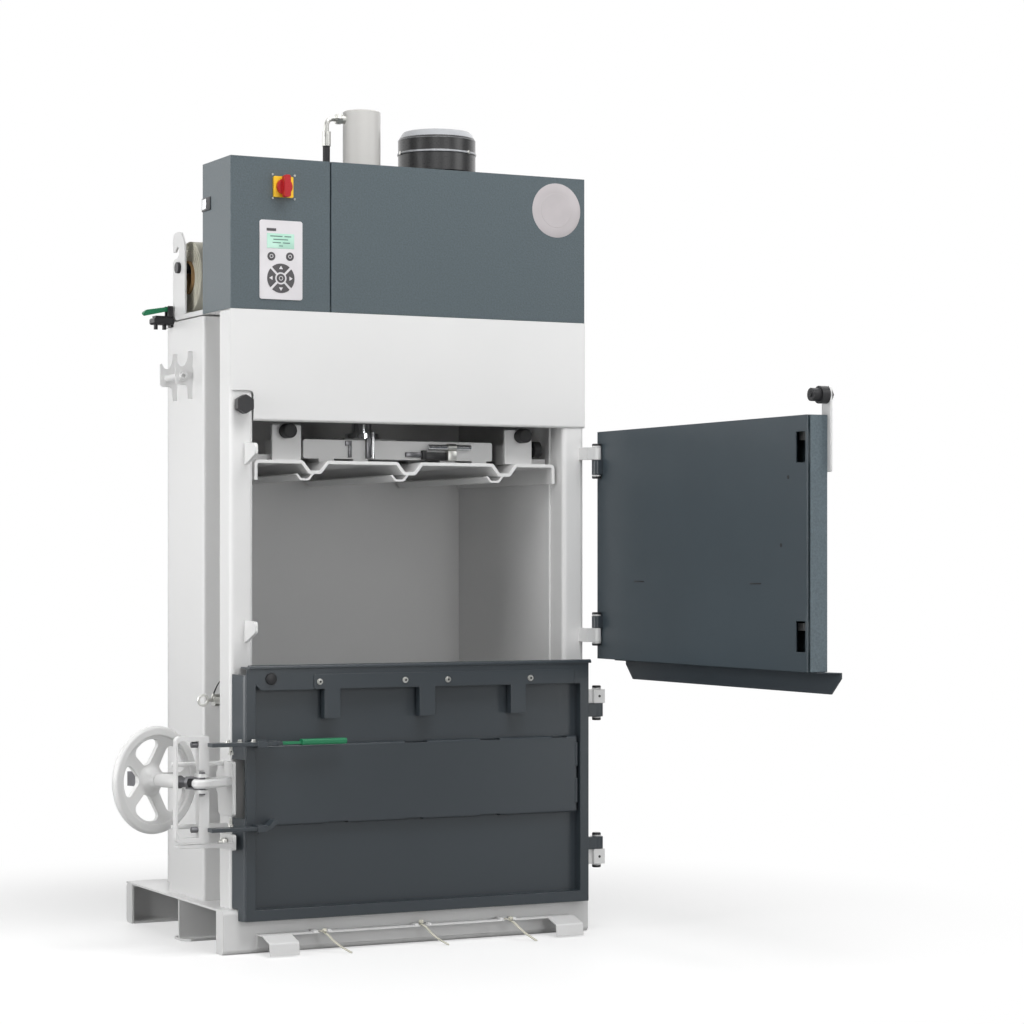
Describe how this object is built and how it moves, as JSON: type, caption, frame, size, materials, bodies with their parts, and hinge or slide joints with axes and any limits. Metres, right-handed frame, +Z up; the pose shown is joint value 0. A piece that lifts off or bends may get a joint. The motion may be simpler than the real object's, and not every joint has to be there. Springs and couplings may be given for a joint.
{
  "type": "vertical recycling baler",
  "caption": "Tall vertical baler with a press chamber, an upper door standing open, a lower door held by a handwheel lock, and a cabinet, cylinder and motor on top.",
  "frame": {"origin": "on the floor, under the middle of the front face of the two posts", "axes": "+Z up, -Y out of the front towards the operator, +X to the right as the operator sees it"},
  "size_m": [1.3035, 1.663, 2.044],
  "materials": {
    "frame_white": "satin",
    "panel_anthracite": "fine texture",
    "wheel_grey": "satin",
    "switch_yellow": "gloss",
    "switch_red": "gloss",
    "grip_green": "satin",
    "keypad_grey": "satin",
    "black_plastic": "satin",
    "rubber_black": "matte",
    "zinc": "zinc plated",
    "chrome": "polished",
    "cylinder_cream": "satin",
    "cowl_grey": "satin",
    "cardboard": "matte",
    "strap_white": "matte"
  },
  "bodies": {
    "frame": {"base_deck": "frame_white", "front_sill": "frame_white", "middle_foot": "frame_white", "rear_foot": "frame_white", "left_front_post": "frame_white", "right_front_post": "frame_white", "left_chamber_wall": "frame_white", "right_chamber_wall": "frame_white", "rear_chamber_wall": "frame_white", "left_side_column": "frame_white", "right_side_column": "frame_white", "header_panel": "frame_white", "top_plate": "frame_white", "interlock_receiver": "black_plastic", "latch_lugs": "frame_white", "control_cabinet": "panel_anthracite", "power_pack_cover": "panel_anthracite", "main_switch_plate": "switch_yellow", "keypad_panel": "keypad_grey", "cylinder_tube": "cylinder_cream", "hose_fitting": "zinc", "hydraulic_hose": "rubber_black", "valve_block": "zinc", "oil_tank": "frame_white", "drive_motor": "cowl_grey", "fan_cowl": "cowl_grey", "strap_roll_bracket": "frame_white", "roll_axle": "black_plastic", "strap_holder": "frame_white", "cutter_body": "black_plastic", "eye_bolt": "zinc", "frame_hinges": "frame_white", "lock_tongue": "frame_white", "strap_rail": "frame_white", "strap_tails": "strap_white"},
    "upper_door": {"upper_door_hinges": "panel_anthracite", "upper_door_pan": "panel_anthracite", "upper_door_skin": "panel_anthracite", "deflector_lip": "panel_anthracite", "interlock_bracket": "frame_white", "interlock_knob": "black_plastic"},
    "lower_door": {"lower_door_hinges": "panel_anthracite", "lower_door_frame": "panel_anthracite", "lower_door_skin": "panel_anthracite", "raised_panel": "panel_anthracite", "strap_hangers": "panel_anthracite", "lock_bars": "panel_anthracite"},
    "release_lever": {"release_lever": "grip_green"},
    "press": {"press_plate": "frame_white", "press_beam": "frame_white", "piston_rod": "chrome", "guide_blocks": "frame_white", "press_buffers": "rubber_black"},
    "lock": {"lock_yoke": "frame_white", "lock_spindle": "zinc"},
    "handwheel": {"handwheel": "wheel_grey"},
    "switch_knob": {"main_switch_knob": "switch_red"},
    "strap_roll": {"strap_roll": "strap_white", "roll_core": "cardboard"},
    "cutter_lever": {"cutter_lever": "grip_green"}
  },
  "joints": [
    {"name": "upper_door_hinge", "type": "hinge", "parent": "frame", "child": "upper_door", "pos_m": [0.486, -0.035, 0.956], "axis": [0, 0, 1], "range_deg": [-90, 60]},
    {"name": "lower_door_hinge", "type": "hinge", "parent": "frame", "child": "lower_door", "pos_m": [0.486, -0.035, 0.373], "axis": [0, 0, 1], "range_deg": [0, 90]},
    {"name": "release_lever_pivot", "type": "hinge", "parent": "lower_door", "child": "release_lever", "pos_m": [-0.385, -0.075, 0.494], "axis": [0, -1, 0], "range_deg": [0, 45]},
    {"name": "press_stroke", "type": "slide", "parent": "frame", "child": "press", "axis": [0, 0, -1], "range_m": [0, 0.42]},
    {"name": "lock_swing", "type": "hinge", "parent": "frame", "child": "lock", "pos_m": [-0.56, -0.056, 0.405], "axis": [0, 0, 1], "range_deg": [0, 40]},
    {"name": "handwheel_spin", "type": "hinge", "parent": "lock", "child": "handwheel", "pos_m": [-0.62, 0.097, 0.405], "axis": [-0.3651, 0.931, 0], "continuous": true},
    {"name": "main_switch", "type": "hinge", "parent": "frame", "child": "switch_knob", "pos_m": [-0.3395, -0.02, 1.798], "axis": [0, 1, 0], "range_deg": [0, 90]},
    {"name": "strap_roll_spin", "type": "hinge", "parent": "frame", "child": "strap_roll", "pos_m": [-0.419, 0.35, 1.61205], "axis": [1, 0, 0], "continuous": true},
    {"name": "cutter_lever_pivot", "type": "hinge", "parent": "frame", "child": "cutter_lever", "pos_m": [-0.476, 0.4, 1.538], "axis": [0, 1, 0], "range_deg": [0, 50]}
  ]
}
